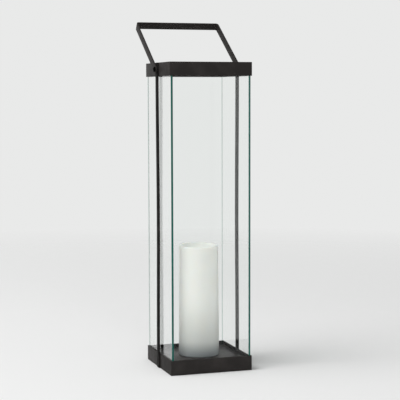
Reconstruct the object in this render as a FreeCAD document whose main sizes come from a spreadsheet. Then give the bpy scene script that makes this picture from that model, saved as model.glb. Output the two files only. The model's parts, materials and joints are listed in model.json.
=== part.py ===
import FreeCAD, Part
import os
import re
import PartDesign
import Sketcher

# Hurricane candle lantern: a square glass chimney between a tray base and an open top band,
# tied by two straps, with a swinging strip handle and a pillar candle.
# X runs along the front, Y to the back, Z up; the origin is under the middle of the base.

# Driving dimensions in millimetres, with the lean of the handle in degrees.
DIMENSIONS = [
    ("plan_side", 152.4, "outer side of the square base and band"),
    ("overall_height", 553.8, "table to the top edge of the band"),
    ("bar_gauge", 2.0, "flat bar of the rings, straps and handle"),
    ("sheet_gauge", 1.2, "sheet of the tray floor, base plate and glass retainer"),
    ("weld_gap", 0.1, "sheet edge to the inside of a ring"),
    ("ring_corner", 1.2, "rounding of the outer ring corners"),
    ("edge_break", 0.35, "softened edges of the flat bar"),
    ("pad_height", 1.6, "felt pad under the base plate"),
    ("pad_proud", 0.3, "felt pad below the bottom edge of the base ring"),
    ("pad_inset", 8.0, "felt pad edge in from the outer side"),
    ("pad_corner", 4.0, "rounded corners of the felt pad"),
    ("base_height", 26.3, "height of the base ring"),
    ("tray_recess", 6.2, "tray floor below the rim of the base ring"),
    ("band_height", 24.4, "height of the top band"),
    ("glass_gauge", 3.0, "thickness of the panes"),
    ("glass_inset", 2.2, "outer face of the panes in from the outer side"),
    ("glass_arris", 0.4, "ground edges of the panes"),
    ("glass_lap", 5.0, "panes reach up inside the band"),
    ("glue_line", 0.2, "bond between the panes at a corner"),
    ("retainer_gap", 0.25, "retainer to the panes"),
    ("retainer_drop", 4.4, "inner leg of the retainer below its flange"),
    ("strap_width", 12.7, "width of the upright straps"),
    ("pivot_drop", 12.2, "pivot axis below the top edge of the band"),
    ("shank_diameter", 5.0, "pivot screw shank"),
    ("shank_hole", 5.3, "clearance hole in the strap, band and washers"),
    ("shank_grip", 5.0, "shank inside the cap nut"),
    ("pivot_play", 0.05, "running clearance round the shank"),
    ("slide_gap", 0.05, "flat faces that turn on each other"),
    ("head_diameter", 9.6, "pivot screw head"),
    ("head_height", 2.8, "pivot screw head"),
    ("head_bevel", 1.4, "bevelled rim of the screw head"),
    ("friction_gauge", 0.8, "friction washer between strap and handle"),
    ("friction_diameter", 11.0, "friction washer"),
    ("washer_gauge", 1.0, "plain washer under the cap nut"),
    ("washer_diameter", 10.0, "plain washer under the cap nut"),
    ("nut_flats", 8.0, "cap nut across flats"),
    ("nut_height", 4.0, "hexagon of the cap nut"),
    ("cap_diameter", 7.4, "dome of the cap nut"),
    ("cap_height", 3.4, "dome above the hexagon"),
    ("cap_bevel", 1.6, "bevelled crown of the dome"),
    ("handle_reach", 151.8, "pivot axis to the middle of the grip"),
    ("handle_width", 14.0, "width of the handle strip"),
    ("handle_bend", 2.5, "inside radius where the strip is bent"),
    ("handle_lean", 56.15, "handle leans back from upright"),
    ("candle_diameter", 71.4, "wax pillar"),
    ("candle_back", 204.2, "height of the wax rim at the back"),
    ("rim_slope", 3.0, "wax rim burnt lower at the front"),
    ("candle_foot", 1.5, "bevelled bottom edge of the wax"),
    ("rim_wall", 5.0, "wax rim round the pool"),
    ("rim_round", 1.6, "softened wax rim"),
    ("pool_depth", 14.0, "pool below the back of the rim"),
    ("pool_floor", 40.0, "flat floor of the pool"),
    ("wick_diameter", 2.6, "wick"),
    ("wick_play", 0.05, "wick in its hole"),
    ("wick_length", 8.0, "wick above the pool"),
]

SHEET = "Dimensions"

# Sizes that follow from the driving dimensions.
HALF_PLAN = "plan_side / 2"
RING_INSIDE = "(plan_side - 2 * bar_gauge)"
SHEET_SIDE = f"({RING_INSIDE} - 2 * weld_gap)"
TRAY_TOP = "(pad_proud + base_height - tray_recess)"
BAND_BOTTOM = "(overall_height - band_height)"
PIVOT_HEIGHT = "(overall_height - pivot_drop)"
GLASS_HEIGHT = f"({BAND_BOTTOM} + glass_lap - {TRAY_TOP})"
GLASS_SPAN = "(plan_side - 2 * glass_inset)"
GLASS_MIDDLE = f"({HALF_PLAN} - glass_inset - glass_gauge / 2)"
STRAP_FACE = f"({HALF_PLAN} + bar_gauge)"
ARM_INSIDE = f"({STRAP_FACE} + friction_gauge + slide_gap)"
HEAD_SEAT = f"({ARM_INSIDE} + bar_gauge + slide_gap)"
BAND_INSIDE = f"({HALF_PLAN} - bar_gauge)"
NUT_SEAT = f"({BAND_INSIDE} - washer_gauge)"
WICK_BORE = "(wick_diameter / 2 + wick_play)"
RIM_FRONT = "(candle_back - rim_slope)"

# Distance from the middle of a hexagon to a corner, for each unit across its flats.
HEXAGON_CORNER = 3 ** -0.5

OUTWARD = {"right": 0, "left": 180}
INWARD = {"right": 180, "left": 0}
SIDE_SIGN = {"right": "", "left": "-"}

X_AXIS = FreeCAD.Vector(1, 0, 0)
Z_AXIS = FreeCAD.Vector(0, 0, 1)

doc = FreeCAD.newDocument("HurricaneLantern")
sub_parts = []


def fill_sheet():
    """Write each driving dimension with its meaning and its alias."""
    sheet = doc.addObject("Spreadsheet::Sheet", SHEET)
    for row, (alias, size, meaning) in enumerate(DIMENSIONS, start=1):
        sheet.set(f"A{row}", meaning)
        sheet.set(f"B{row}", str(size))
        sheet.setAlias(f"B{row}", alias)
    doc.recompute()


def bound(formula):
    """Turn the dimension names of a formula into references to the sheet."""
    return re.sub(r"[a-z_]{2,}", lambda name: f"{SHEET}.{name.group()}", formula)


def drive(thing, setting, formula):
    thing.setExpression(setting, bound(formula))


def new_body(label, x=None, y=None, z=None, turn=0, about=Z_AXIS):
    """Start a sub-part, turned about an axis and set at driven coordinates."""
    body = doc.addObject("PartDesign::Body", label)
    body.Label = label
    body.Placement = FreeCAD.Placement(FreeCAD.Vector(), FreeCAD.Rotation(about, turn))
    for letter, formula in (("x", x), ("y", y), ("z", z)):
        if formula is not None:
            drive(body, f"Placement.Base.{letter}", formula)
    sub_parts.append(body)
    return body


def new_sketch(body, plane, name):
    """Start a sketch on one of the body's own origin planes."""
    sketch = body.newObject("Sketcher::SketchObject", name)
    datum = next(item for item in body.Origin.OriginFeatures if item.Role == plane)
    sketch.AttachmentSupport = [(datum, "")]
    sketch.MapMode = "FlatFace"
    return sketch


def place_point(sketch, curve, end, x, y):
    """Drive a point of the sketch by its distances from the sketch's origin."""
    for kind, formula, axis in (("DistanceX", x, -2), ("DistanceY", y, -1)):
        if formula == "0":
            sketch.addConstraint(Sketcher.Constraint("PointOnObject", curve, end, axis))
            continue
        index = sketch.addConstraint(Sketcher.Constraint(kind, -1, 1, curve, end, 1.0))
        drive(sketch, f"Constraints[{index}]", formula)


def add_outline(sketch, corners):
    """Draw a closed outline of straight lines through driven corners."""
    first = sketch.GeometryCount
    count = len(corners)
    for step in range(count):
        start = FreeCAD.Vector(step, step * step, 0)
        end = FreeCAD.Vector(step + 1, (step + 1) ** 2, 0)
        sketch.addGeometry(Part.LineSegment(start, end))
    for step in range(count):
        follower = first + (step + 1) % count
        sketch.addConstraint(Sketcher.Constraint("Coincident", first + step, 2, follower, 1))
    for step, (x, y) in enumerate(corners):
        place_point(sketch, first + step, 1, x, y)


def add_rectangle(sketch, width, depth):
    """Draw a rectangle about the sketch's origin."""
    right, top = f"({width}) / 2", f"({depth}) / 2"
    left, bottom = f"-{right}", f"-{top}"
    add_outline(sketch, [(left, bottom), (right, bottom), (right, top), (left, top)])


def add_circle(sketch, diameter, y="0"):
    """Draw a circle on the sketch's upright axis."""
    curve = sketch.addGeometry(Part.Circle(FreeCAD.Vector(0, 1, 0), Z_AXIS, 1.0))
    index = sketch.addConstraint(Sketcher.Constraint("Diameter", curve, 2.0))
    drive(sketch, f"Constraints[{index}]", diameter)
    place_point(sketch, curve, 3, "0", y)


def pad(body, sketch, length, name, side="One side", reverse=False):
    feature = body.newObject("PartDesign::Pad", name)
    feature.Profile = sketch
    feature.SideType = side
    feature.Reversed = reverse
    drive(feature, "Length", length)
    doc.recompute()
    return feature


def pocket(body, sketch, name, depth=None, reverse=False):
    """Cut a sketch through the whole body both ways, or to a depth one way."""
    before = body.Shape.Volume
    feature = body.newObject("PartDesign::Pocket", name)
    feature.Profile = sketch
    feature.Reversed = reverse
    if depth is None:
        feature.SideType = "Symmetric"
        feature.Type = "ThroughAll"
    else:
        drive(feature, "Length", depth)
    doc.recompute()
    if body.Shape.Volume >= before:
        raise RuntimeError(f"{body.Label}: {name} cuts nothing")
    return feature


def revolve(body, sketch, axis, name):
    feature = body.newObject("PartDesign::Revolution", name)
    feature.Profile = sketch
    feature.ReferenceAxis = (sketch, [axis])
    feature.Angle = 360
    doc.recompute()
    return feature


def chosen_edges(feature, wanted):
    """Names of the feature's edges whose middle point passes a test."""
    names = []
    for number, edge in enumerate(feature.Shape.Edges, start=1):
        middle = edge.valueAt((edge.FirstParameter + edge.LastParameter) / 2)
        if wanted(edge, middle):
            names.append(f"Edge{number}")
    if not names:
        raise RuntimeError(f"{feature.Label}: no edge to dress")
    return names


def fillet(body, feature, wanted, radius, name):
    rounding = body.newObject("PartDesign::Fillet", name)
    rounding.Base = (feature, chosen_edges(feature, wanted))
    drive(rounding, "Radius", radius)
    doc.recompute()
    return rounding


def chamfer(body, feature, wanted, size, name):
    bevel = body.newObject("PartDesign::Chamfer", name)
    bevel.Base = (feature, chosen_edges(feature, wanted))
    drive(bevel, "Size", size)
    doc.recompute()
    return bevel


def dimension(alias):
    """Present value of a driving dimension, used only to pick edges."""
    return float(doc.getObject(SHEET).get(alias))


def is_upright(edge):
    return abs(edge.BoundBox.ZLength - edge.Length) < 1e-6


def is_line(edge):
    return edge.Curve.TypeId == "Part::GeomLine"


def square_plate(label, side, gauge, z):
    """Flat square sheet lying at a driven height."""
    body = new_body(label, z=z)
    outline = new_sketch(body, "XY_Plane", f"{label}_outline")
    add_rectangle(outline, side, side)
    return body, pad(body, outline, gauge, f"{label}_sheet")


def bar_ring(label, height, z):
    """Square ring of flat bar on edge, with its outer corners ground round."""
    body = new_body(label, z=z)
    outline = new_sketch(body, "XY_Plane", f"{label}_outline")
    add_rectangle(outline, "plan_side", "plan_side")
    add_rectangle(outline, RING_INSIDE, RING_INSIDE)
    wall = pad(body, outline, height, f"{label}_wall")
    half = dimension("plan_side") / 2
    rounded = fillet(
        body, wall,
        lambda edge, middle: is_upright(edge) and abs(abs(middle.x) - half) < 1e-6,
        "ring_corner", f"{label}_corners",
    )
    softened = chamfer(
        body, rounded,
        lambda edge, middle: not is_upright(edge) and max(abs(middle.x), abs(middle.y)) > half - 1e-6,
        "edge_break", f"{label}_edges",
    )
    return body, softened


def make_base():
    """Base ring with the tray floor inside it, closed below by a plate with a felt pad."""
    bar_ring("base_ring", "base_height", "pad_proud")
    square_plate("tray_floor", SHEET_SIDE, "sheet_gauge", f"{TRAY_TOP} - sheet_gauge")
    square_plate("base_plate", SHEET_SIDE, "sheet_gauge", "pad_height")
    body, felt = square_plate("base_pad", "plan_side - 2 * pad_inset", "pad_height", "0")
    fillet(body, felt, lambda edge, middle: is_upright(edge), "pad_corner", "base_pad_corners")


def make_top():
    """Top band, bored for the pivots, and the angle ring that caps the panes inside it."""
    band, _ = bar_ring("top_band", "band_height", BAND_BOTTOM)
    bore = new_sketch(band, "YZ_Plane", "top_band_bore")
    add_circle(bore, "shank_hole", "band_height - pivot_drop")
    pocket(band, bore, "top_band_pivot_holes")

    opening = f"({GLASS_SPAN} - 2 * (glass_gauge + retainer_gap + sheet_gauge))"
    retainer = new_body("glass_retainer", z=f"{BAND_BOTTOM} + glass_lap + retainer_gap")
    flange = new_sketch(retainer, "XY_Plane", "retainer_flange_outline")
    add_rectangle(flange, SHEET_SIDE, SHEET_SIDE)
    add_rectangle(flange, opening, opening)
    pad(retainer, flange, "sheet_gauge", "retainer_flange")
    leg = new_sketch(retainer, "XY_Plane", "retainer_leg_outline")
    leg_side = f"({opening} + 2 * sheet_gauge)"
    add_rectangle(leg, leg_side, leg_side)
    add_rectangle(leg, opening, opening)
    pad(retainer, leg, "retainer_drop", "retainer_leg", reverse=True)


def make_pane(label, width, depth, x=None, y=None):
    """Upright pane with ground edges, standing on the tray floor."""
    body = new_body(label, x=x, y=y, z=TRAY_TOP)
    outline = new_sketch(body, "XY_Plane", f"{label}_outline")
    add_rectangle(outline, width, depth)
    slab = pad(body, outline, GLASS_HEIGHT, f"{label}_slab")
    chamfer(body, slab, lambda edge, middle: True, "glass_arris", f"{label}_arris")


def make_glass():
    """Side panes run the full depth; the front and back panes fit between them."""
    between = f"{GLASS_SPAN} - 2 * (glass_gauge + glue_line)"
    make_pane("left_glass", "glass_gauge", GLASS_SPAN, x=f"-{GLASS_MIDDLE}")
    make_pane("right_glass", "glass_gauge", GLASS_SPAN, x=GLASS_MIDDLE)
    make_pane("front_glass", between, "glass_gauge", y=f"-{GLASS_MIDDLE}")
    make_pane("back_glass", between, "glass_gauge", y=GLASS_MIDDLE)


def make_strap(side):
    """Upright flat bar welded to the base ring and the band, bored for the pivot."""
    label = f"{side}_strap"
    body = new_body(label, x=f"{SIDE_SIGN[side]}{HALF_PLAN}", z="pad_proud", turn=OUTWARD[side])
    outline = new_sketch(body, "YZ_Plane", f"{label}_outline")
    half, top = "strap_width / 2", "overall_height - pad_proud"
    add_outline(outline, [(f"-{half}", "0"), (half, "0"), (half, top), (f"-{half}", top)])
    add_circle(outline, "shank_hole", f"{PIVOT_HEIGHT} - pad_proud")
    bar = pad(body, outline, "bar_gauge", f"{label}_bar")
    gauge = dimension("bar_gauge")
    chamfer(
        body, bar,
        lambda edge, middle: is_line(edge) and abs(middle.x - gauge) < 1e-6,
        "edge_break", f"{label}_edges",
    )


def make_ring_washer(label, seat, side, turn, diameter, gauge):
    """Flat washer on the pivot axis, built away from the face that it seats on."""
    body = new_body(label, x=f"{SIDE_SIGN[side]}{seat}", z=PIVOT_HEIGHT, turn=turn[side])
    outline = new_sketch(body, "YZ_Plane", f"{label}_outline")
    add_circle(outline, diameter)
    add_circle(outline, "shank_hole")
    pad(body, outline, gauge, f"{label}_disc")


def make_pivot_screw(side):
    """Screw turned about the pivot axis, with its bevelled head seated outside the handle."""
    label = f"{side}_pivot_screw"
    body = new_body(label, x=f"{SIDE_SIGN[side]}{HEAD_SEAT}", z=PIVOT_HEIGHT, turn=OUTWARD[side])
    profile = new_sketch(body, "XZ_Plane", f"{label}_profile")
    tip = f"-({HEAD_SEAT} - {NUT_SEAT} + shank_grip)"
    shank, head = "shank_diameter / 2", "head_diameter / 2"
    add_outline(profile, [
        (tip, "0"), ("0", "0"), ("head_height", "0"), ("head_height", head),
        ("0", head), ("0", shank), (tip, shank),
    ])
    turned = revolve(body, profile, "H_Axis", f"{label}_turned")
    top = dimension("head_height")
    rim = dimension("head_diameter") / 2
    chamfer(
        body, turned,
        lambda edge, middle: not is_line(edge) and abs(middle.x - top) < 1e-6
        and abs(abs(middle.z) - rim) < 1e-6,
        "head_bevel", f"{label}_head",
    )


def make_pivot_nut(side):
    """Blind cap nut inside the band: hexagon, dome and bore along the pivot axis."""
    label = f"{side}_pivot_nut"
    body = new_body(label, x=f"{SIDE_SIGN[side]}{NUT_SEAT}", z=PIVOT_HEIGHT, turn=INWARD[side])
    hexagon = new_sketch(body, "YZ_Plane", f"{label}_hexagon")
    flat, corner = "nut_flats / 2", f"nut_flats * {HEXAGON_CORNER}"
    middle = f"{corner} / 2"
    add_outline(hexagon, [
        ("0", f"-{corner}"), (flat, f"-{middle}"), (flat, middle),
        ("0", corner), (f"-{flat}", middle), (f"-{flat}", f"-{middle}"),
    ])
    pad(body, hexagon, "nut_height", f"{label}_prism")
    profile = new_sketch(body, "XZ_Plane", f"{label}_cap_profile")
    crown, rim = "nut_height + cap_height", "cap_diameter / 2"
    add_outline(profile, [("0", "0"), (crown, "0"), (crown, rim), ("0", rim)])
    cap = revolve(body, profile, "H_Axis", f"{label}_cap")
    end = dimension("nut_height") + dimension("cap_height")
    chamfer(
        body, cap,
        lambda edge, middle: not is_line(edge) and abs(middle.x - end) < 1e-6,
        "cap_bevel", f"{label}_crown",
    )
    bore = new_sketch(body, "YZ_Plane", f"{label}_bore")
    add_circle(bore, "shank_diameter + 2 * pivot_play")
    pocket(body, bore, f"{label}_blind_bore", "shank_grip + pivot_play", reverse=True)


def make_pivot(side):
    """Stack of one pivot, from the screw head outside to the cap nut inside the band."""
    make_pivot_screw(side)
    make_ring_washer(
        f"{side}_friction_washer", STRAP_FACE, side, OUTWARD, "friction_diameter", "friction_gauge")
    make_ring_washer(
        f"{side}_nut_washer", BAND_INSIDE, side, INWARD, "washer_diameter", "washer_gauge")
    make_pivot_nut(side)


def make_handle():
    """One flat strip bent to a U, with round ends that turn on the pivot screws."""
    body = new_body("handle", z=PIVOT_HEIGHT, about=X_AXIS, turn=-1)
    drive(body, "Placement.Rotation.Angle", "-handle_lean")
    strip = new_sketch(body, "XZ_Plane", "handle_strip")
    outside = f"({ARM_INSIDE} + bar_gauge)"
    foot = "-handle_width / 2"
    over, under = "handle_reach + bar_gauge / 2", "handle_reach - bar_gauge / 2"
    add_outline(strip, [
        (f"-{outside}", foot), (f"-{ARM_INSIDE}", foot), (f"-{ARM_INSIDE}", under), (ARM_INSIDE, under),
        (ARM_INSIDE, foot), (outside, foot), (outside, over), (f"-{outside}", over),
    ])
    flat = pad(body, strip, "handle_width", "handle_bar", side="Symmetric")

    reach = dimension("handle_reach")
    thick = dimension("bar_gauge") / 2
    inner = fillet(
        body, flat,
        lambda edge, middle: abs(middle.y) < 1e-6 and abs(middle.z - reach + thick) < 1e-6
        and edge.BoundBox.YLength > 1,
        "handle_bend", "handle_inner_bends",
    )
    outer = fillet(
        body, inner,
        lambda edge, middle: abs(middle.y) < 1e-6 and abs(middle.z - reach - thick) < 1e-6
        and edge.BoundBox.YLength > 1,
        "handle_bend + bar_gauge", "handle_outer_bends",
    )
    half = dimension("handle_width") / 2
    fillet(
        body, outer,
        lambda edge, middle: abs(middle.z + half) < 1e-6 and abs(abs(middle.y) - half) < 1e-6,
        "handle_width / 2 - edge_break", "handle_round_ends",
    )
    hole = new_sketch(body, "YZ_Plane", "handle_hole")
    add_circle(hole, "shank_diameter + 2 * pivot_play")
    pocket(body, hole, "handle_pivot_holes")


def make_candle():
    """Wax pillar with a burnt pool inside a sloping rim, and the wick along its axis."""
    wax = new_body("candle_wax", z=TRAY_TOP)
    profile = new_sketch(wax, "XZ_Plane", "wax_profile")
    side, lip = "candle_diameter / 2", "candle_diameter / 2 - rim_wall"
    floor = "candle_back - pool_depth"
    add_outline(profile, [
        (WICK_BORE, "0"), (side, "0"), (side, "candle_back"), (lip, "candle_back"),
        ("pool_floor / 2", floor), (WICK_BORE, floor),
    ])
    turned = revolve(wax, profile, "V_Axis", "wax_turned")
    edge_radius = dimension("candle_diameter") / 2
    chamfer(
        wax, turned,
        lambda edge, middle: not is_line(edge) and abs(middle.z) < 1e-6
        and abs(middle.x ** 2 + middle.y ** 2 - edge_radius ** 2) < 1e-3,
        "candle_foot", "wax_foot",
    )
    slope = new_sketch(wax, "YZ_Plane", "wax_rim_slope")
    reach = "candle_diameter / 2"
    above = "candle_back + pool_depth"
    add_outline(slope, [
        (f"-({reach})", RIM_FRONT), (reach, "candle_back"), (reach, above), (f"-({reach})", above),
    ])
    burnt = pocket(wax, slope, "wax_burnt_rim")
    low = dimension("candle_back") - dimension("rim_slope") - dimension("pool_depth") / 4
    fillet(
        wax, burnt,
        lambda edge, middle: not is_line(edge) and middle.z > low,
        "rim_round", "wax_rim",
    )

    wick = new_body("candle_wick", z=f"{TRAY_TOP} + candle_foot")
    section = new_sketch(wick, "XY_Plane", "wick_section")
    add_circle(section, "wick_diameter")
    cord = pad(wick, section, f"{floor} + wick_length - candle_foot", "wick_cord")
    chamfer(
        wick, cord,
        lambda edge, middle: not is_line(edge) and middle.z > low / 2,
        "wick_diameter / 4", "wick_tip",
    )


def check_document():
    """Stop if any object failed or any sub-part is not a sound solid."""
    doc.recompute()
    for item in doc.Objects:
        if "Invalid" in item.State or "Error" in item.State:
            raise RuntimeError(f"{item.Label} failed: {item.State}")
    for body in sub_parts:
        if body.Shape.isNull() or not body.Shape.isValid() or body.Shape.Volume <= 0:
            raise RuntimeError(f"{body.Label} has no sound shape")


def write_parts():
    os.makedirs("parts", exist_ok=True)
    for body in sub_parts:
        body.Shape.exportStep(f"parts/{body.Label}.step")


fill_sheet()
make_base()
make_top()
make_glass()
for hand in ("left", "right"):
    make_strap(hand)
    make_pivot(hand)
make_handle()
make_candle()
check_document()
write_parts()
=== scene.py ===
"""Hurricane lantern: modelled pieces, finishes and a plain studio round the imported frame."""
import json
import math

import bmesh
import bpy
from bpy.props import FloatProperty, FloatVectorProperty, PointerProperty
from bpy.types import Operator, Panel, PropertyGroup
from mathutils import Matrix, Vector, noise


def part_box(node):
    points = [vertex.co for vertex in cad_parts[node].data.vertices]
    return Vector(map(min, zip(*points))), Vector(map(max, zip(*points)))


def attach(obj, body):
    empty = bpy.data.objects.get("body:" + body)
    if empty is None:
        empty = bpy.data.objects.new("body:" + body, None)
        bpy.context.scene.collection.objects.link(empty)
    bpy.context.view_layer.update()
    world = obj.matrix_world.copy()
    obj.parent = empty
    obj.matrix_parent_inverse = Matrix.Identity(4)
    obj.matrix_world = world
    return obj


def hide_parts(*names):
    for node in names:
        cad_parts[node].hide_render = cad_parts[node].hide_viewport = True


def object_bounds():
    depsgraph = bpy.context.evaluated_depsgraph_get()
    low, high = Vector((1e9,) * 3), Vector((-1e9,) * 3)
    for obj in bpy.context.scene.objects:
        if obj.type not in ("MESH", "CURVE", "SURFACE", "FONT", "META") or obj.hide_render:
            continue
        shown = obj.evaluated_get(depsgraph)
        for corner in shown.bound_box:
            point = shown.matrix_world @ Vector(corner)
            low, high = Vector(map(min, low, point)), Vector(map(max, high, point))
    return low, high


bl_info = {
    "name": "Hurricane Lantern",
    "version": (1, 0, 0),
    "blender": (4, 5, 0),
    "location": "3D View > Sidebar > Lantern",
    "description": "Models and finishes a square glass candle lantern on its packed frame",
    "category": "Object",
}

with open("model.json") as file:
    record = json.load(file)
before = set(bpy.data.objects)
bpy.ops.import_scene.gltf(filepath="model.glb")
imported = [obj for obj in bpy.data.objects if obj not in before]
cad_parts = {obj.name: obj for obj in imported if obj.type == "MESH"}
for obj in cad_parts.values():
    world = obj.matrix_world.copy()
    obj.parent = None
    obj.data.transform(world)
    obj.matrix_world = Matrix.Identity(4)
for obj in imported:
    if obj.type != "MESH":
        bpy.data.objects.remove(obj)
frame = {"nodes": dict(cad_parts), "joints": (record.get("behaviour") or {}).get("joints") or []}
CAD_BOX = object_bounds()

SIDES = ("left", "right")
PIVOT = Vector(next(
    joint["pos_m"] for joint in frame["joints"] if joint["name"] == "handle_swing"))

# Slack for picking by place and distance at which doubles merge, in metres.
NEAR = 1e-5
MERGE = 1e-7

# The least share of a direction that counts as along it, and as up in the melted top of the wax.
# Every face up from there, the rim's rounding too, takes the darker melted wax, partly as painted
# shade.
FLAT = 0.9
MELT_AND_TOP_SHADE = 0.06

# Edges sharper than the first angle are softened, on a nut those sharper than the second, and
# shading runs smoothly over edges up to the third.
HARD_EDGE = math.radians(50)
NUT_EDGE = math.radians(70)
SMOOTH_EDGE = math.radians(35)

# Facets round a full circle.
ROUND = 64
WAX_ROUND = 96
WICK_ROUND = 12
HEXAGON = 6

# Segments of each rounding.
EDGE_STEPS = 2
CORNER_STEPS = 4
BEND_STEPS = 6
END_STEPS = 8
DOME_STEPS = 6

# Cuts along the pieces that are bent or made uneven after they are drawn.
STRAP_CUTS = 23
WAX_CUTS = 48
WICK_CUTS = 60

# Steps from the rim down to the middle of the melted pool: inset in metres, share of the depth.
POOL_STEPS = ((0.004, 0.55), (0.006, 0.3), (0.008, 0.15))

# Unevenness of the wax: features for each metre round the rim and along the axes of the side, and
# the share of the height over which the rim sinks.
RIM_GRAIN = 45
SIDE_GRAIN = Vector((30, 30, 18))
RIM_SHARE = 0.1

# How far up from its foot the wax is darkened with painted shade, a little and strongly, in
# metres.
PAINTED_SHADE_HEIGHT = 0.12
FOOT_SHADE_HEIGHT = 0.032

# How far above the pool the wick goes from bare to burnt, in metres.
CHAR_FADE = 0.002

# Refractive indices: the glass, the lower one at which panes that face a dim side mirror, and wax.
GLASS_INDEX = 1.52
DIM_INDEX = 1.22
WAX_INDEX = 1.44

# Black coatings: the colour, the colour where it is rubbed and the level of gloss.
COATINGS = {
    "satin_black_coating": ("paint", "paint_worn", 0.02),
    "tray_black_coating": ("paint", "paint_worn", 0.08),
    "matt_black_coating": ("strap_paint", "paint", 0.004),
    "deep_black_coating": ("screw_black", "strap_paint", 0.006),
}

# The floor is solid out to the first distance and gone at the second, in metres.
FLOOR_SOLID = 0.7
FLOOR_GONE = 2.4
FLOOR_RADIUS = 3.0

# Where the soft lamps hang, in metres.
KEY_PLACE = Vector((-3.0, -0.22, 5.1))
FILL_PLACE = Vector((-0.3, -4.25, 0.95))

# Width of the camera's sensor, in millimetres.
SENSOR_WIDTH = 36.0


def extent(node, axis):
    """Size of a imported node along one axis."""
    low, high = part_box(node)
    return high[axis] - low[axis]


def length(name, description, default):
    """A length property in metres."""
    return FloatProperty(
        name=name, description=description, default=default, min=0.0, precision=5, unit="LENGTH")


def angle(name, description, degrees):
    """An angle property, given in degrees."""
    return FloatProperty(
        name=name, description=description, default=math.radians(degrees), subtype="ANGLE")


def power(name, description, default):
    """A lamp's power property in watts."""
    return FloatProperty(name=name, description=description, default=default, unit="POWER")


def colour(name, description, default):
    """A linear colour property."""
    return FloatVectorProperty(
        name=name, description=description, default=default, min=0.0, max=1.0, size=3,
        subtype="COLOR")


class LanternSizes(PropertyGroup):
    """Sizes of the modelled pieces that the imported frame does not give."""

    bar_gauge: length("Bar gauge", "Flat bar of rings, straps and handle", extent("left_strap", 0))
    bar_edge: length("Bar edge", "Softened edges of the flat bar", 0.0004)
    ring_corner: length("Ring corner", "Outer rounding of the welded corners", 0.0012)
    strap_spread: length("Strap spread", "Strap past its solid, each edge", 0.001)
    strap_bow: length("Strap bow", "Straps drawn in half way up", 0.001)
    glass_arris: length("Glass arris", "Ground bevel along the pane edges", 0.0004)
    handle_reach: length("Handle reach", "Pivot axis to the middle of the grip", 0.1518)
    handle_width: length("Handle width", "Width of the handle strip", 0.014)
    handle_bend: length("Handle bend", "Inside radius of the strip's bends", 0.0025)
    handle_lean: angle("Handle lean", "Lean back from upright", 56.15)
    head_height: length("Head height", "Pivot screw head", 0.0028)
    head_dome: length("Head dome", "Rounding of the pivot screw head", 0.0022)
    shank_radius: length("Shank radius", "Pivot screw shank", 0.0025)
    hole_radius: length("Hole radius", "Hole for the shank in straps and band", 0.00265)
    eye_radius: length("Eye radius", "Hole for the shank in handle and nuts", 0.00255)
    socket_radius: length("Socket radius", "Corner radius of the hexagon socket", 0.0017)
    socket_depth: length("Socket depth", "Depth of the hexagon socket", 0.0013)
    nut_hexagon: length("Nut hexagon", "Height of the hexagon of the cap nut", 0.004)
    dome_radius: length("Dome radius", "Dome of the cap nut", 0.0037)
    rim_wall: length("Rim wall", "Wax rim round the pool", 0.005)
    rim_slope: length("Rim slope", "Rim lower at the front than at the back", 0.003)
    rim_round: length("Rim round", "Softened wax rim", 0.0016)
    rim_waver: length("Rim waver", "Unevenness of the melted rim", 0.0009)
    pool_depth: length("Pool depth", "Melted pool below the rim", 0.013)
    wax_foot: length("Wax foot", "Rounded bottom edge of the wax", 0.002)
    wax_waver: length("Wax waver", "Unevenness of the wax side", 0.00025)
    wax_flare: length("Wax flare", "Side of the wax leans out to its foot", 0.0017)
    wick_play: length("Wick play", "Wick in its hole", 0.00005)
    wick_bend: length("Wick bend", "Radius at which the burnt wick curls over", 0.006)
    pad_corner: length("Pad corner", "Rounded corners of the felt", 0.004)


class LanternColours(PropertyGroup):
    """Colours of the finishes, in linear values."""

    paint: colour("Paint", "Satin black coating", (0.028, 0.0255, 0.0245))
    paint_worn: colour("Worn paint", "Coating where it has been rubbed", (0.038, 0.0345, 0.033))
    strap_paint: colour("Strap paint", "Matt black coating of the straps", (0.0095, 0.0095, 0.009))
    screw_black: colour("Screw black", "Coating of the pivot screws", (0.0025, 0.0025, 0.0025))
    glass: colour("Glass", "Tint of the panes", (0.987, 0.992, 0.9895))
    glass_shade: colour("Glass shade", "Lamp light past each pane face", (0.92, 0.928, 0.924))
    glass_end: colour("Glass end", "Pane edges seen through the glass", (0.62, 0.72, 0.68))
    glass_edge: colour("Glass edge", "Ground pane edges", (0.003, 0.072, 0.056))
    wax: colour("Wax", "Ivory wax", (0.91, 0.915, 0.875))
    wax_shade: colour("Wax shade", "Darker clouds in the wax", (0.875, 0.88, 0.838))
    # The melt colour is partly wax set again in the pool and partly painted shade: darker than the
    # side, it goes on every face that looks up, where the overhead lamp falls.
    melt: colour("Melt", "Wax set again round the wick", (0.76, 0.77, 0.74))
    # Painted shade: the next two colours darken the wax over its lower half and at its foot, where
    # the tray and the base keep the light off.
    wax_low_shade: colour("Low wax", "Wax dulled over its lower half", (0.585, 0.597, 0.575))
    wax_foot: colour("Wax foot", "Wax dulled by the tray at its foot", (0.27, 0.29, 0.3))
    wick: colour("Wick", "Cotton wick", (0.5, 0.45, 0.36))
    char: colour("Char", "Burnt wick", (0.012, 0.01, 0.009))
    zinc: colour("Zinc", "Plated nuts and washers", (0.58, 0.58, 0.57))
    nylon: colour("Nylon", "Friction washers", (0.018, 0.018, 0.019))
    felt: colour("Felt", "Pad under the base", (0.02, 0.02, 0.021))


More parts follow.
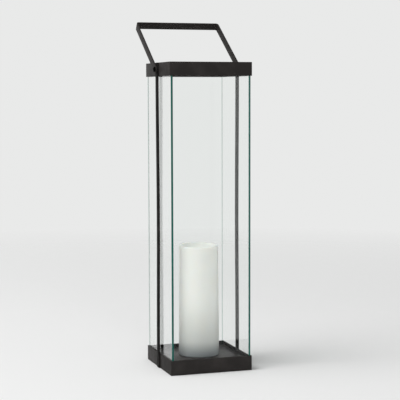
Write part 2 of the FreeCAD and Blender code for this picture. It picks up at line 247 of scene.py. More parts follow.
class LanternStudio(PropertyGroup):
    """Camera, light and backdrop."""

    camera_yaw: angle("Camera yaw", "Heading to the right of straight ahead", 18.19)
    camera_dip: angle("Camera dip", "Tilt below the horizon", 4.794)
    camera_roll: angle("Camera roll", "Turn about the view line", -0.155)
    camera_distance: length("Camera distance", "Camera to the point it looks at", 2.2772)
    camera_shift: length("Camera shift", "Camera to the right of the lantern's axis", 0.0031)
    look_height: length("Look height", "Height of the point that the camera looks at", 0.3047)
    lens: FloatProperty(name="Lens", description="Focal length", default=112.23, unit="CAMERA")
    backdrop: colour("Backdrop", "Seen background", (0.815, 0.82, 0.815))
    sky: colour("Sky", "Light from all round", (0.4, 0.4, 0.4))
    floor: colour("Floor", "Pale floor", (0.83, 0.833, 0.83))
    key_power: power("Key power", "Large soft lamp", 246.0)
    key_size: length("Key size", "Side of the large soft lamp", 3.3)
    fill_power: power("Fill power", "Weak soft lamp", 44.0)
    fill_size: length("Fill size", "Side of the weak soft lamp", 1.5)


GROUPS = {
    "lantern_sizes": LanternSizes,
    "lantern_colours": LanternColours,
    "lantern_studio": LanternStudio,
}


def deselect():
    """Leave edit mode with nothing selected."""
    if bpy.context.mode != "OBJECT":
        bpy.ops.object.mode_set(mode="OBJECT")
    bpy.ops.object.select_all(action="DESELECT")


def activate(piece):
    """Select one piece alone and make it active."""
    deselect()
    piece.select_set(True)
    bpy.context.view_layer.objects.active = piece


def settle(name):
    """Name the new primitive and move its place, turn and scale into its mesh."""
    piece = bpy.context.object
    piece.name = name
    piece.data.name = name
    bpy.ops.object.transform_apply(location=True, rotation=True, scale=True)
    return piece


def add_block(name, low, high):
    """Cube stretched between two corners."""
    low, high = Vector(low), Vector(high)
    deselect()
    bpy.ops.mesh.primitive_cube_add(size=1, location=(low + high) / 2)
    bpy.context.object.scale = high - low
    return settle(name)


def add_rod(name, start, end, radius, vertices):
    """Cylinder along X or Z between two points of its axis."""
    start, end = Vector(start), Vector(end)
    along = end - start
    turn = Vector((0, 0, 1)).rotation_difference(along).to_euler()
    deselect()
    bpy.ops.mesh.primitive_cylinder_add(
        vertices=vertices, radius=radius, depth=along.length, location=(start + end) / 2,
        rotation=turn)
    return settle(name)


def middle(item):
    """Mean place of the corners of an edge or a face."""
    return sum((vertex.co for vertex in item.verts), Vector()) / len(item.verts)


def is_upright(edge):
    """Whether an edge runs up and down."""
    run = edge.verts[1].co - edge.verts[0].co
    return abs(run.z) > FLAT * run.length


def is_below(edge, height):
    """Whether both ends of an edge are below a height."""
    return all(vertex.co.z < height for vertex in edge.verts)


def choose(piece, kind, test):
    """Select, in edit mode, the vertices, edges or faces that pass a test."""
    activate(piece)
    bpy.ops.object.mode_set(mode="EDIT")
    bpy.ops.mesh.select_mode(type=kind)
    bpy.ops.mesh.select_all(action="DESELECT")
    mesh = bmesh.from_edit_mesh(piece.data)
    mesh.normal_update()
    items = {"VERT": mesh.verts, "EDGE": mesh.edges, "FACE": mesh.faces}[kind]
    found = [item for item in items if test(item)]
    if not found:
        raise RuntimeError(f"{piece.name}: nothing to select")
    for item in found:
        item.select_set(True)
    mesh.select_flush_mode()
    bmesh.update_edit_mesh(piece.data)


def pull(x=0.0, y=0.0, z=0.0):
    """Extrude what is selected along a direction."""
    bpy.ops.mesh.extrude_region_move(TRANSFORM_OT_translate={"value": (x, y, z)})


def bevel_chosen(offset, segments):
    """Round the selected edges."""
    bpy.ops.mesh.bevel(offset=offset, segments=segments, affect="EDGES", clamp_overlap=False)


def apply_modifier(piece, kind, **settings):
    """Add a modifier, set it and apply it at once."""
    activate(piece)
    modifier = piece.modifiers.new(kind.lower(), kind)
    for key, setting in settings.items():
        setattr(modifier, key, setting)
    bpy.ops.object.modifier_apply(modifier=modifier.name)


def shade(piece):
    """Shade smoothly up to the hard edges."""
    activate(piece)
    bpy.ops.object.shade_smooth_by_angle(angle=SMOOTH_EDGE)


def soften(piece, width, segments=EDGE_STEPS):
    """Round the hard edges and shade the rest smooth."""
    apply_modifier(
        piece, "BEVEL", width=width, segments=segments, limit_method="ANGLE",
        angle_limit=HARD_EDGE, use_clamp_overlap=True)
    shade(piece)


def combine(piece, tool, operation):
    """Cut a tool out of a piece or join it on, and throw the tool away."""
    apply_modifier(piece, "BOOLEAN", object=tool, operation=operation, solver="EXACT")
    bpy.data.objects.remove(tool)


def bore(piece, start, end, radius):
    """Cut a round hole between two points of its axis."""
    combine(piece, add_rod("drill", start, end, radius, ROUND), "DIFFERENCE")
    shade(piece)


def bore_pivots(piece, radius, height):
    """Bore the pivot holes through a piece, from side to side."""
    reach = CAD_BOX[1][0]
    bore(piece, (-reach, 0, height), (reach, 0, height), radius)


def face_outward(piece):
    """Merge doubles and turn every face outward."""
    activate(piece)
    bpy.ops.object.mode_set(mode="EDIT")
    bpy.ops.mesh.select_all(action="SELECT")
    bpy.ops.mesh.remove_doubles(threshold=MERGE)
    bpy.ops.mesh.normals_make_consistent(inside=False)
    deselect()


def opposite(piece, name):
    """Copy a piece with its own mesh and turn the copy half round the upright axis."""
    activate(piece)
    bpy.ops.object.duplicate(linked=False)
    bpy.context.object.rotation_euler = (0, 0, math.pi)
    return settle(name)


def hand_over(piece, body, slot, finishes, *nodes):
    """Give a finished piece its finishes and its body, and hide the nodes it stands for; the slot
    is not used.
    """
    deselect()
    piece.data.materials.clear()
    for finish in finishes:
        piece.data.materials.append(finish)
    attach(piece, body)
    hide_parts(*nodes)


def refinish(node, finish):
    """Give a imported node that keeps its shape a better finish."""
    materials = frame["nodes"][node].data.materials
    materials.clear()
    materials.append(finish)


def new_finish(name):
    """Start a material and return it with its nodes and its main shader."""
    material = bpy.data.materials.new(name)
    material.use_nodes = True
    nodes = material.node_tree.nodes
    return material, material.node_tree, nodes["Principled BSDF"]


def set_inputs(node, **settings):
    """Set the named inputs of a node, with _ for each space."""
    for key, setting in settings.items():
        node.inputs[key.replace("_", " ")].default_value = setting


def feed(tree, node, **sources):
    """Link outputs to the named inputs of a node, with _ for each space."""
    for key, source in sources.items():
        tree.links.new(source, node.inputs[key.replace("_", " ")])


def add_node(tree, kind, **settings):
    """Add a node with some of its inputs set."""
    node = tree.nodes.new(kind)
    set_inputs(node, **settings)
    return node


def place_on_piece(tree):
    """Coordinates fixed to the piece."""
    return tree.nodes.new("ShaderNodeTexCoord").outputs["Object"]


def height_on_piece(tree):
    """Height of a point of the piece, in metres."""
    split = tree.nodes.new("ShaderNodeSeparateXYZ")
    feed(tree, split, Vector=place_on_piece(tree))
    return split.outputs["Z"]


def grain(tree, scale, detail=3.0, roughness=0.5, stretch=(1, 1, 1)):
    """Noise on the piece, with its scale in features for each metre."""
    mapping = add_node(tree, "ShaderNodeMapping", Scale=stretch)
    feed(tree, mapping, Vector=place_on_piece(tree))
    node = add_node(
        tree, "ShaderNodeTexNoise", Scale=scale, Detail=detail, Roughness=roughness)
    feed(tree, node, Vector=mapping.outputs["Vector"])
    return node.outputs["Fac"]


def spread(tree, source, low, high, start=0.3, end=0.7, ease="LINEAR"):
    """Map a noise value or a place to a range."""
    node = add_node(
        tree, "ShaderNodeMapRange", From_Min=start, From_Max=end, To_Min=low, To_Max=high)
    node.interpolation_type = ease
    feed(tree, node, Value=source)
    return node.outputs["Result"]


def toned(tint, share):
    """A colour made lighter or darker by a share."""
    return tuple(share * value for value in tint)


def blend_colours(tree, factor, first, second):
    """Mix two colours, each a plain one or the output of a node."""
    node = tree.nodes.new("ShaderNodeMix")
    node.data_type = "RGBA"
    for key, source in (("A", first), ("B", second)):
        if isinstance(source, bpy.types.NodeSocket):
            tree.links.new(source, node.inputs[key])
        else:
            node.inputs[key].default_value = (*source, 1)
    feed(tree, node, Factor=factor)
    return node.outputs["Result"]


def mix_shaders(tree, factor, first, second):
    """Go from one shader to another by a factor."""
    node = tree.nodes.new("ShaderNodeMixShader")
    feed(tree, node, Fac=factor)
    tree.links.new(first, node.inputs[1])
    tree.links.new(second, node.inputs[2])
    return node.outputs["Shader"]


def show(tree, surface):
    """Send a shader to the material's output."""
    feed(tree, tree.nodes["Material Output"], Surface=surface)


def raise_grain(tree, shader, source, strength, height):
    """Bump from a noise value, with its height in metres."""
    node = add_node(tree, "ShaderNodeBump", Strength=strength, Distance=height)
    feed(tree, node, Height=source)
    feed(tree, shader, Normal=node.outputs["Normal"])


def make_paint(name, plain, rubbed, gloss):
    """Black coating: fine orange peel, cloudy gloss and a little rubbing."""
    material, tree, shader = new_finish(name)
    clouds = spread(tree, grain(tree, 38, detail=4.0), 0.0, 1.0, start=0.45, end=0.75)
    feed(
        tree, shader,
        Base_Color=blend_colours(tree, clouds, plain, rubbed),
        Roughness=spread(tree, grain(tree, 95, detail=5.0, roughness=0.6), 0.3, 0.42))
    set_inputs(shader, Specular_IOR_Level=gloss)
    raise_grain(tree, shader, grain(tree, 1500, detail=2.0), strength=0.05, height=0.00004)
    return material


def make_glass(name, colours, mirror_index):
    """Clear float glass: bends what is behind it, mirrors a little and lets lamp light through."""
    material, tree, shader = new_finish(name)
    tree.nodes.remove(shader)
    smears = grain(tree, 30, detail=6.0, roughness=0.65, stretch=(1, 1, 0.35))
    marks = spread(tree, smears, 0.0, 0.03, start=0.5, end=0.8)
    bend = add_node(tree, "ShaderNodeBsdfRefraction", Color=(*colours.glass, 1), IOR=GLASS_INDEX)
    mirror = add_node(tree, "ShaderNodeBsdfGlossy", Color=(1, 1, 1, 1))
    for part in (bend, mirror):
        feed(tree, part, Roughness=marks)
    share = add_node(tree, "ShaderNodeFresnel", IOR=mirror_index)
    pane = mix_shaders(tree, share.outputs["Fac"], bend.outputs["BSDF"], mirror.outputs["BSDF"])
    path = tree.nodes.new("ShaderNodeLightPath")
    clear = add_node(tree, "ShaderNodeBsdfTransparent", Color=(*colours.glass_shade, 1))
    show(tree, mix_shaders(tree, path.outputs["Is Shadow Ray"], pane, clear.outputs["BSDF"]))
    return material


def make_glass_edge(colours):
    """Ground pane edge: deep green, softly streaked along its length."""
    material, tree, shader = new_finish("ground_glass_edge")
    scratches = grain(tree, 900, detail=4.0, roughness=0.6, stretch=(1, 1, 0.03))
    streaks = spread(tree, scratches, 0.0, 1.0)
    lighter = toned(colours.glass_edge, 1.7)
    feed(
        tree, shader,
        Base_Color=blend_colours(tree, streaks, colours.glass_edge, lighter),
        Roughness=spread(tree, streaks, 0.12, 0.3, start=0.0, end=1.0))
    set_inputs(shader, IOR=GLASS_INDEX, Specular_IOR_Level=0.25)
    inside = tree.nodes.new("ShaderNodeNewGeometry").outputs["Backfacing"]
    clear = add_node(tree, "ShaderNodeBsdfTransparent", Color=(*colours.glass_end, 1))
    show(tree, mix_shaders(tree, inside, shader.outputs["BSDF"], clear.outputs["BSDF"]))
    return material


def make_wax(colours, foot):
    """Ivory wax: soft light inside, cloudy colour, painted shade that darkens its lower half and
    its foot, and a faintly mottled skin.
    """
    material, tree, shader = new_finish("ivory_wax")
    clouds = spread(
        tree, grain(tree, 22, detail=5.0, roughness=0.6), 0.0, 1.0, start=0.4, end=0.75)
    tint = blend_colours(tree, clouds, colours.wax, colours.wax_shade)
    height = height_on_piece(tree)
    # Painted shade, not a colour of the wax: darker over the lower half and darker still at the
    # foot.
    for reach, shade_colour in ((PAINTED_SHADE_HEIGHT, colours.wax_low_shade), (FOOT_SHADE_HEIGHT, colours.wax_foot)):
        shaded = spread(
            tree, height, 1.0, 0.0, start=foot, end=foot + reach, ease="SMOOTHSTEP")
        tint = blend_colours(tree, shaded, tint, shade_colour)
    feed(
        tree, shader, Base_Color=tint,
        Roughness=spread(tree, grain(tree, 160, detail=4.0), 0.38, 0.55))
    set_inputs(
        shader, Subsurface_Weight=0.55, Subsurface_Radius=(1.0, 0.88, 0.76),
        Subsurface_Scale=0.005, IOR=WAX_INDEX, Specular_IOR_Level=0.15)
    mottle = grain(tree, 210, detail=4.0, roughness=0.6)
    raise_grain(tree, shader, mottle, strength=0.3, height=0.00015)
    return material


def make_melted_wax(colours):
    """Wax that has melted and set again: smoother, duller and clearer than the side, and darker,
    which on the faces that look up is partly painted shade.
    """
    material, tree, shader = new_finish("melted_wax_and_top_shade")
    clouds = spread(
        tree, grain(tree, 60, detail=4.0, roughness=0.6), 0.0, 1.0, start=0.35, end=0.7)
    feed(
        tree, shader,
        Base_Color=blend_colours(tree, clouds, colours.melt, toned(colours.melt, 1.12)),
        Roughness=spread(tree, grain(tree, 90), 0.3, 0.5))
    set_inputs(
        shader, Subsurface_Weight=0.4, Subsurface_Radius=(1.0, 0.85, 0.7),
        Subsurface_Scale=0.004, IOR=WAX_INDEX, Specular_IOR_Level=0.06)
    raise_grain(tree, shader, grain(tree, 120), strength=0.2, height=0.0002)
    return material


def make_wick(colours, burnt_from):
    """Cotton braid that is charred above the wax."""
    material, tree, shader = new_finish("cotton_wick")
    burnt = spread(
        tree, height_on_piece(tree), 0.0, 1.0, start=burnt_from, end=burnt_from + CHAR_FADE)
    feed(
        tree, shader,
        Base_Color=blend_colours(tree, burnt, colours.wick, colours.char),
        Roughness=spread(tree, grain(tree, 1500), 0.75, 0.95))
    fibres = grain(tree, 1800, detail=2.0, stretch=(1, 1, 0.4))
    raise_grain(tree, shader, fibres, strength=0.8, height=0.0003)
    return material


def make_zinc(colours):
    """Dull zinc plating with turned marks."""
    material, tree, shader = new_finish("zinc_plating")
    clouds = spread(tree, grain(tree, 400, detail=4.0), 0.0, 1.0)
    feed(
        tree, shader,
        Base_Color=blend_colours(tree, clouds, colours.zinc, toned(colours.zinc, 0.7)),
        Roughness=spread(tree, grain(tree, 2500), 0.25, 0.45))
    set_inputs(shader, Metallic=1.0)
    return material


def make_nylon(colours):
    """Matt black nylon."""
    material, tree, shader = new_finish("black_nylon")
    clouds = spread(tree, grain(tree, 600), 0.0, 1.0)
    feed(
        tree, shader,
        Base_Color=blend_colours(tree, clouds, colours.nylon, toned(colours.nylon, 1.6)),
        Roughness=spread(tree, clouds, 0.5, 0.65, start=0.0, end=1.0))
    return material


def make_felt(colours):
    """Pressed felt: fibres in colour and height, with a little sheen."""
    material, tree, shader = new_finish("pressed_felt")
    fibres = grain(tree, 1400, detail=5.0, roughness=0.7)
    clouds = spread(tree, fibres, 0.0, 1.0)
    feed(
        tree, shader,
        Base_Color=blend_colours(tree, clouds, colours.felt, toned(colours.felt, 2.2)),
        Roughness=spread(tree, fibres, 0.85, 1.0))
    set_inputs(shader, Sheen_Weight=0.3)
    raise_grain(tree, shader, fibres, strength=0.7, height=0.0003)
    return material


def make_floor(studio):
    """Pale floor that fades into the backdrop away from the lantern."""
    material, tree, shader = new_finish("pale_floor")
    set_inputs(shader, Base_Color=(*studio.floor, 1), Roughness=0.9, Specular_IOR_Level=0.0)
    reach = tree.nodes.new("ShaderNodeVectorMath")
    reach.operation = "LENGTH"
    tree.links.new(place_on_piece(tree), reach.inputs[0])
    fade = spread(tree, reach.outputs["Value"], 0.0, 1.0, start=FLOOR_SOLID, end=FLOOR_GONE)
    clear = tree.nodes.new("ShaderNodeBsdfTransparent")
    show(tree, mix_shaders(tree, fade, shader.outputs["BSDF"], clear.outputs["BSDF"]))
    return material


def finish_named(name, maker, *arguments):
    """The finish of that name, made the first time that it is asked for."""
    return bpy.data.materials.get(name) or maker(*arguments)


def coating(scene, name):
    """One of the black coatings."""
    colours = scene.lantern_colours
    plain, rubbed, gloss = COATINGS[name]
    return finish_named(
        name, make_paint, name, getattr(colours, plain), getattr(colours, rubbed), gloss)


def pane_glass(scene, side):
    """Glass of a pane: the left one faces the pale side of the studio and mirrors more."""
    name, mirror_index = "clear_float_glass", DIM_INDEX
    if side == "left":
        name, mirror_index = "mirroring_float_glass", GLASS_INDEX
    return finish_named(name, make_glass, name, scene.lantern_colours, mirror_index)


def model_ring(name, node, sizes):
    """Square ring of flat bar: a block inset on both ends, bridged, and rounded at its corners."""
    low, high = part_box(node)
    piece = add_block(name, low, high)
    choose(piece, "FACE", lambda face: abs(face.normal.z) > FLAT)
    bpy.ops.mesh.inset(thickness=sizes.bar_gauge, depth=0)
    bpy.ops.mesh.bridge_edge_loops()
    half = high[0] - NEAR
    choose(piece, "EDGE", lambda edge: is_upright(edge) and abs(middle(edge).x) > half)
    bevel_chosen(sizes.ring_corner, CORNER_STEPS)
    face_outward(piece)
    soften(piece, sizes.bar_edge)
    return piece


class LANTERN_OT_base(Operator):
    """Model the base ring, tray sheet and felt, and finish the base plate"""

    bl_idname = "lantern.base"
    bl_label = "Base"

    def execute(self, context):
        scene = context.scene
        sizes = scene.lantern_sizes
        paint = coating(scene, "satin_black_coating")
        tray_paint = coating(scene, "tray_black_coating")
        felt = finish_named("pressed_felt", make_felt, scene.lantern_colours)

        ring = model_ring("base_rim", "base_ring", sizes)
        hand_over(ring, "frame", "black_paint", [paint], "base_ring")

        tray = add_block("tray_sheet", *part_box("tray_floor"))
        soften(tray, sizes.bar_edge / 2)
        hand_over(tray, "frame", "black_paint", [tray_paint], "tray_floor")

        pad = add_block("felt_pad", *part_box("base_pad"))
        choose(pad, "EDGE", is_upright)
        bevel_chosen(sizes.pad_corner, CORNER_STEPS)
        soften(pad, sizes.bar_edge)
        hand_over(pad, "frame", "felt", [felt], "base_pad")

        refinish("base_plate", paint)
        return {"FINISHED"}


class LANTERN_OT_band(Operator):
    """Model the band round the open top and finish the ring that caps the panes"""

    bl_idname = "lantern.band"
    bl_label = "Top band"

    def execute(self, context):
        sizes = context.scene.lantern_sizes
        paint = coating(context.scene, "satin_black_coating")
        ring = model_ring("band_ring", "top_band", sizes)
        bore_pivots(ring, sizes.hole_radius, PIVOT.z)
        hand_over(ring, "frame", "black_paint", [paint], "top_band")
        refinish("glass_retainer", paint)
        return {"FINISHED"}


class LANTERN_OT_glass(Operator):
    """Model the panes with ground edges"""

    bl_idname = "lantern.glass"
    bl_label = "Glass panes"

    def execute(self, context):
        scene = context.scene
        ground = finish_named("ground_glass_edge", make_glass_edge, scene.lantern_colours)
        for side, far_side, thin in (("front", "back", 1), ("right", "left", 0)):
            pane = add_block(f"pane_{side}", *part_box(f"{side}_glass"))
            soften(pane, scene.lantern_sizes.glass_arris, segments=1)
            twin = opposite(pane, f"pane_{far_side}")
            for piece, place in ((pane, side), (twin, far_side)):
                finishes = [pane_glass(scene, place), ground]
                hand_over(piece, "frame", "clear_glass", finishes, f"{place}_glass")
                for face in piece.data.polygons:
                    face.material_index = 0 if abs(face.normal[thin]) > FLAT else 1
        return {"FINISHED"}


def model_strap(name, sizes):
    """Flat bar of the right side, drawn in a little between the base and the band."""
    low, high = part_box("right_strap")
    foot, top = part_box("base_ring")[1][2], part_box("top_band")[0][2]
    margin = Vector((0, sizes.strap_spread, 0))
    bar = add_block(name, Vector(low) - margin, Vector(high) + margin)
    choose(bar, "EDGE", is_upright)
    bpy.ops.mesh.subdivide(number_cuts=STRAP_CUTS)
    deselect()
    for vertex in bar.data.vertices:
        rise = min(max((vertex.co.z - foot) / (top - foot), 0.0), 1.0)
        vertex.co.x -= sizes.strap_bow * math.sin(math.pi * rise) ** 2
    soften(bar, sizes.bar_edge)
    bore_pivots(bar, sizes.hole_radius, PIVOT.z)
    return bar


class LANTERN_OT_straps(Operator):
    """Model the upright flat bars that tie the band to the base"""

    bl_idname = "lantern.straps"
    bl_label = "Straps"

    def execute(self, context):
        paint = coating(context.scene, "matt_black_coating")
        right = model_strap("strap_right", context.scene.lantern_sizes)
        left = opposite(right, "strap_left")
        for side, bar in (("right", right), ("left", left)):
            hand_over(bar, "frame", "black_paint", [paint], f"{side}_strap")
        return {"FINISHED"}


def model_screw(name, sizes):
    """Domed screw of the right side with a hexagon socket in its head."""
    low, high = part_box("right_pivot_screw")
    outer, tip = high[0], low[0]
    seat = outer - sizes.head_height
    radius = (high[1] - low[1]) / 2
    piece = add_rod(name, (seat, 0, PIVOT.z), (outer, 0, PIVOT.z), radius, ROUND)
    choose(piece, "FACE", lambda face: face.normal.x < -FLAT)
    bpy.ops.mesh.inset(thickness=radius - sizes.shank_radius, depth=0)
    pull(x=tip - seat)
    choose(piece, "EDGE", lambda edge: all(vertex.co.x > outer - NEAR for vertex in edge.verts))
    bevel_chosen(sizes.head_dome, DOME_STEPS)
    deselect()
    start = (outer - sizes.socket_depth, 0, PIVOT.z)
    end = (outer + sizes.socket_depth, 0, PIVOT.z)
    cutter = add_rod("socket_cutter", start, end, sizes.socket_radius, HEXAGON)
    combine(piece, cutter, "DIFFERENCE")
    face_outward(piece)
    shade(piece)
    return piece


def model_nut(name, sizes):
    """Cap nut of the right side: a hexagon joined with a dome and bored for the shank."""
    low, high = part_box("right_pivot_nut")
    seat, crown = high[0], low[0]
    top = seat - sizes.nut_hexagon
    corner = (high[2] - low[2]) / 2
    piece = add_rod(name, (seat, 0, PIVOT.z), (top, 0, PIVOT.z), corner, HEXAGON)
    apply_modifier(
        piece, "BEVEL", width=sizes.bar_edge, segments=EDGE_STEPS, limit_method="ANGLE",
        angle_limit=NUT_EDGE)
    deselect()
    bpy.ops.mesh.primitive_uv_sphere_add(
        segments=ROUND // 2, ring_count=ROUND // 4, radius=1, location=(top, 0, PIVOT.z))
    bpy.context.object.scale = (top - crown, sizes.dome_radius, sizes.dome_radius)
    combine(piece, settle("dome_tool"), "UNION")
    face_outward(piece)
    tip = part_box("right_pivot_screw")[0][0] - sizes.bar_edge
    bore(piece, (2 * seat - tip, 0, PIVOT.z), (tip, 0, PIVOT.z), sizes.eye_radius)
    return piece


class LANTERN_OT_pivots(Operator):
    """Model the pivot screws and cap nuts, and finish the washers"""

    bl_idname = "lantern.pivots"
    bl_label = "Pivots"

    def execute(self, context):
        scene = context.scene
        paint = coating(scene, "deep_black_coating")
        zinc = finish_named("zinc_plating", make_zinc, scene.lantern_colours)
        nylon = finish_named("black_nylon", make_nylon, scene.lantern_colours)
        right_screw = model_screw("screw_right", scene.lantern_sizes)
        right_nut = model_nut("cap_nut_right", scene.lantern_sizes)
        screws = {"right": right_screw, "left": opposite(right_screw, "screw_left")}
        nuts = {"right": right_nut, "left": opposite(right_nut, "cap_nut_left")}
        for side in SIDES:
            hand_over(screws[side], "frame", "black_screw", [paint], f"{side}_pivot_screw")
            hand_over(nuts[side], "frame", "zinc", [zinc], f"{side}_pivot_nut")
            refinish(f"{side}_nut_washer", zinc)
            refinish(f"{side}_friction_washer", nylon)
        return {"FINISHED"}


def model_handle(name, sizes):
    """Strip pulled up one arm, spun round the bends and down the other arm, with round ends."""
    gauge, width = sizes.bar_gauge, sizes.handle_width
    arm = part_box("handle")[1][0] - gauge / 2
    foot = -width / 2
    straight = sizes.handle_reach - gauge / 2 - sizes.handle_bend
    bend = arm - gauge / 2 - sizes.handle_bend
    deselect()
    bpy.ops.mesh.primitive_plane_add(size=1, location=(-arm, 0, foot))
    bpy.context.object.scale = (gauge, width, 1)
    strip = settle(name)
    choose(strip, "FACE", lambda face: True)
    pull(z=straight - foot)
    for centre, run in ((-bend, (2 * bend, 0, 0)), (bend, (0, 0, foot - straight))):
        bpy.ops.mesh.spin(
            steps=BEND_STEPS, angle=-math.pi / 2, center=(centre, 0, straight), axis=(0, 1, 0))
        pull(*run)
    face_outward(strip)
    side = width / 2 - NEAR
    choose(
        strip, "EDGE",
        lambda edge: is_below(edge, foot + NEAR) and abs(middle(edge).y) > side)
    bevel_chosen(width / 2 - sizes.bar_edge, END_STEPS)
    soften(strip, sizes.bar_edge)
    bore_pivots(strip, sizes.eye_radius, 0.0)
    strip.location = PIVOT
    strip.rotation_euler = (-sizes.handle_lean, 0, 0)
    bpy.ops.object.transform_apply(location=True, rotation=True, scale=True)
    return strip


class LANTERN_OT_handle(Operator):
    """Model the handle, leaning back on its pivots"""

    bl_idname = "lantern.handle"
    bl_label = "Handle"

    def execute(self, context):
        paint = coating(context.scene, "satin_black_coating")
        strip = model_handle("handle_strip", context.scene.lantern_sizes)
        hand_over(strip, "handle", "black_paint", [paint], "handle")
        return {"FINISHED"}


def melt(piece, foot, top, radius, sizes):
    """Slope and waver the rim, and make the side of the wax slightly flared and uneven."""
    for vertex in piece.data.vertices:
        place = vertex.co
        height = (place.z - foot) / (top - foot)
        slope = sizes.rim_slope * (0.5 - place.y / (2 * radius))
        waver = sizes.rim_waver * (noise.noise(place * RIM_GRAIN) - 0.5)
        uneven = sizes.wax_waver * (noise.noise(place * SIDE_GRAIN) - 1)
        flare = sizes.wax_flare * (1 - height)
        outward = Vector((place.x, place.y, 0))
        if outward.length > radius / 2:
            place += outward.normalized() * (uneven + flare)
        place.z -= max(0.0, height - (1 - RIM_SHARE)) / RIM_SHARE * (slope - waver)


def model_wax(name, wick_radius, sizes):
    """Pillar with a pool melted into its top, bored for the wick."""
    low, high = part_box("candle_wax")
    radius = (high[0] - low[0]) / 2
    foot, top = low[2], high[2]
    wax = add_rod(name, (0, 0, foot), (0, 0, top), radius, WAX_ROUND)
    choose(wax, "EDGE", is_upright)
    bpy.ops.mesh.subdivide(number_cuts=WAX_CUTS)
    choose(wax, "FACE", lambda face: face.normal.z > FLAT)
    for inset, drop in ((sizes.rim_wall, 0.0), *POOL_STEPS):
        bpy.ops.mesh.inset(thickness=inset, depth=0)
        bpy.ops.transform.translate(value=(0, 0, -drop * sizes.pool_depth))
    inner = radius - sizes.rim_wall - NEAR

    def is_rim(edge):
        """Whether an edge runs round the top of the wall."""
        first, second = (vertex.co.xy.length for vertex in edge.verts)
        level = all(vertex.co.z > top - NEAR for vertex in edge.verts)
        return level and min(first, second) > inner and abs(first - second) < NEAR

    choose(wax, "EDGE", is_rim)
    bevel_chosen(sizes.rim_round, CORNER_STEPS)
    choose(wax, "EDGE", lambda edge: is_below(edge, foot + NEAR))
    bevel_chosen(sizes.wax_foot, CORNER_STEPS)
    deselect()
    melt(wax, foot, top, radius, sizes)
    bore(wax, (0, 0, foot - wick_radius), (0, 0, top), wick_radius + sizes.wick_play)
    return wax


def model_wick(name, wick_radius, pool, sizes):
    """Braid that curls over where it stands bare above the pool."""
    low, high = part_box("candle_wick")
    wick = add_rod(name, (0, 0, low[2]), (0, 0, high[2]), wick_radius, WICK_ROUND)
    choose(wick, "EDGE", is_upright)
    bpy.ops.mesh.subdivide(number_cuts=WICK_CUTS)
    deselect()
    for vertex in wick.data.vertices:
        if vertex.co.z > pool:
            turn = (vertex.co.z - pool) / sizes.wick_bend
            fibre = sizes.wick_bend - vertex.co.x
            vertex.co.x = sizes.wick_bend - fibre * math.cos(turn)
            vertex.co.z = pool + fibre * math.sin(turn)
    shade(wick)
    return wick


class LANTERN_OT_candle(Operator):
    """Model the wax pillar with its melted top, and the wick"""

    bl_idname = "lantern.candle"
    bl_label = "Candle"

    def execute(self, context):
        sizes, colours = context.scene.lantern_sizes, context.scene.lantern_colours
        low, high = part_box("candle_wax")
        pool = high[2] - sizes.pool_depth - sizes.rim_slope / 2
        wick_radius = extent("candle_wick", 0) / 2
        ivory = finish_named("ivory_wax", make_wax, colours, low[2])
        melted = finish_named("melted_wax_and_top_shade", make_melted_wax, colours)
        cotton = finish_named("cotton_wick", make_wick, colours, pool)

        wax = model_wax("wax_pillar", wick_radius, sizes)
        hand_over(wax, "candle", "wax", [ivory, melted], "candle_wax")
        # Every face that looks up, the rim's rounding too, takes the darker melted wax: the set
        # pool, and painted shade on the tops that the overhead lamp lights.
        for face in wax.data.polygons:
            face.material_index = 1 if face.normal.z > MELT_AND_TOP_SHADE else 0

        wick = model_wick("wick_braid", wick_radius, pool, sizes)
        hand_over(wick, "candle", "wick", [cotton], "candle_wick")
        return {"FINISHED"}


def light_world(scene, studio):
    """Even light from all round, with the pale backdrop seen directly, in gloss and in glass."""
    world = bpy.data.worlds.new("studio_world")
    world.use_nodes = True
    tree = world.node_tree
    path = tree.nodes.new("ShaderNodeLightPath")
    seen = path.outputs["Is Camera Ray"]
    for ray in ("Is Glossy Ray", "Is Transmission Ray"):
        either = tree.nodes.new("ShaderNodeMath")
        either.operation = "MAXIMUM"
        tree.links.new(seen, either.inputs[0])
        tree.links.new(path.outputs[ray], either.inputs[1])
        seen = either.outputs["Value"]
    tint = blend_colours(tree, seen, studio.sky, studio.backdrop)
    feed(tree, tree.nodes["Background"], Color=tint)
    scene.world = world


def add_lamp(scene, name, place, watts, size, aim):
    """Square soft lamp turned to the lantern, which gives light and is not itself seen."""
    lamp = bpy.data.lights.new(name, "AREA")
    lamp.energy = watts
    lamp.size = size
    holder = bpy.data.objects.new(name, lamp)
    scene.collection.objects.link(holder)
    holder.location = place
    holder.rotation_euler = (aim - place).to_track_quat("-Z", "Y").to_euler()
    holder.visible_camera = False
    holder.visible_glossy = False
    holder.visible_transmission = False


def add_camera(scene, studio, aim):
    """Camera on the heading, dip and distance that the picture was taken from."""
    lens = bpy.data.cameras.new("camera")
    lens.sensor_width = SENSOR_WIDTH
    lens.lens = studio.lens
    camera = bpy.data.objects.new("camera", lens)
    scene.collection.objects.link(camera)
    heading = Matrix.Rotation(-studio.camera_yaw, 4, "Z")
    turn = (
        heading
        @ Matrix.Rotation(math.pi / 2 - studio.camera_dip, 4, "X")
        @ Matrix.Rotation(studio.camera_roll, 4, "Z"))
    back = turn @ Vector((0, 0, studio.camera_distance))
    aside = heading @ Vector((studio.camera_shift, 0, 0))
    camera.matrix_world = Matrix.Translation(aim + back + aside) @ turn
    scene.camera = camera


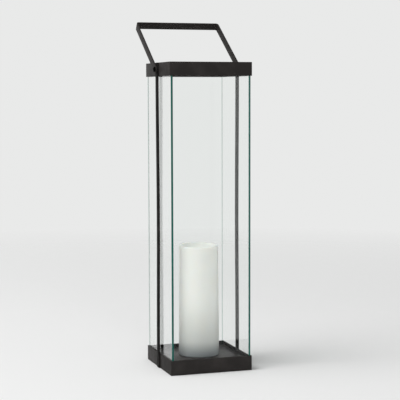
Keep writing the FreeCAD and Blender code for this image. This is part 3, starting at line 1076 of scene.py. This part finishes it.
class LANTERN_OT_stage(Operator):
    """Set up the floor, the light, the backdrop and the camera"""

    bl_idname = "lantern.stage"
    bl_label = "Studio"

    def execute(self, context):
        scene = context.scene
        studio = scene.lantern_studio
        aim = Vector((0, 0, studio.look_height))
        deselect()
        bpy.ops.mesh.primitive_circle_add(vertices=ROUND, radius=FLOOR_RADIUS, fill_type="NGON")
        floor = settle("studio_floor")
        floor.data.materials.append(make_floor(studio))
        light_world(scene, studio)
        add_lamp(scene, "soft_key", KEY_PLACE, studio.key_power, studio.key_size, aim)
        add_lamp(scene, "soft_fill", FILL_PLACE, studio.fill_power, studio.fill_size, aim)
        add_camera(scene, studio, aim)
        scene.view_settings.view_transform = "Standard"
        return {"FINISHED"}


STEPS = (
    LANTERN_OT_base, LANTERN_OT_band, LANTERN_OT_glass, LANTERN_OT_straps,
    LANTERN_OT_pivots, LANTERN_OT_handle, LANTERN_OT_candle, LANTERN_OT_stage,
)


class LANTERN_PT_panel(Panel):
    """Steps and settings of the lantern"""

    bl_idname = "LANTERN_PT_panel"
    bl_label = "Hurricane Lantern"
    bl_space_type = "VIEW_3D"
    bl_region_type = "UI"
    bl_category = "Lantern"

    def draw(self, context):
        for step in STEPS:
            self.layout.operator(step.bl_idname)
        for group_name in GROUPS:
            group = getattr(context.scene, group_name)
            box = self.layout.box()
            for name in group.bl_rna.properties.keys():
                if name not in ("rna_type", "name"):
                    box.prop(group, name)


def register():
    """Register the settings, the steps and the panel."""
    for group in GROUPS.values():
        bpy.utils.register_class(group)
    for step in (*STEPS, LANTERN_PT_panel):
        bpy.utils.register_class(step)
    for name, group in GROUPS.items():
        setattr(bpy.types.Scene, name, PointerProperty(type=group))


def unregister():
    """Undo what register did."""
    for name in GROUPS:
        delattr(bpy.types.Scene, name)
    for step in (LANTERN_PT_panel, *reversed(STEPS)):
        bpy.utils.unregister_class(step)
    for group in GROUPS.values():
        bpy.utils.unregister_class(group)


def main():
    """Make the lantern and its studio."""
    register()
    bpy.ops.lantern.base()
    bpy.ops.lantern.band()
    bpy.ops.lantern.glass()
    bpy.ops.lantern.straps()
    bpy.ops.lantern.pivots()
    bpy.ops.lantern.handle()
    bpy.ops.lantern.candle()
    bpy.ops.lantern.stage()


if __name__ == "__main__":
    main()
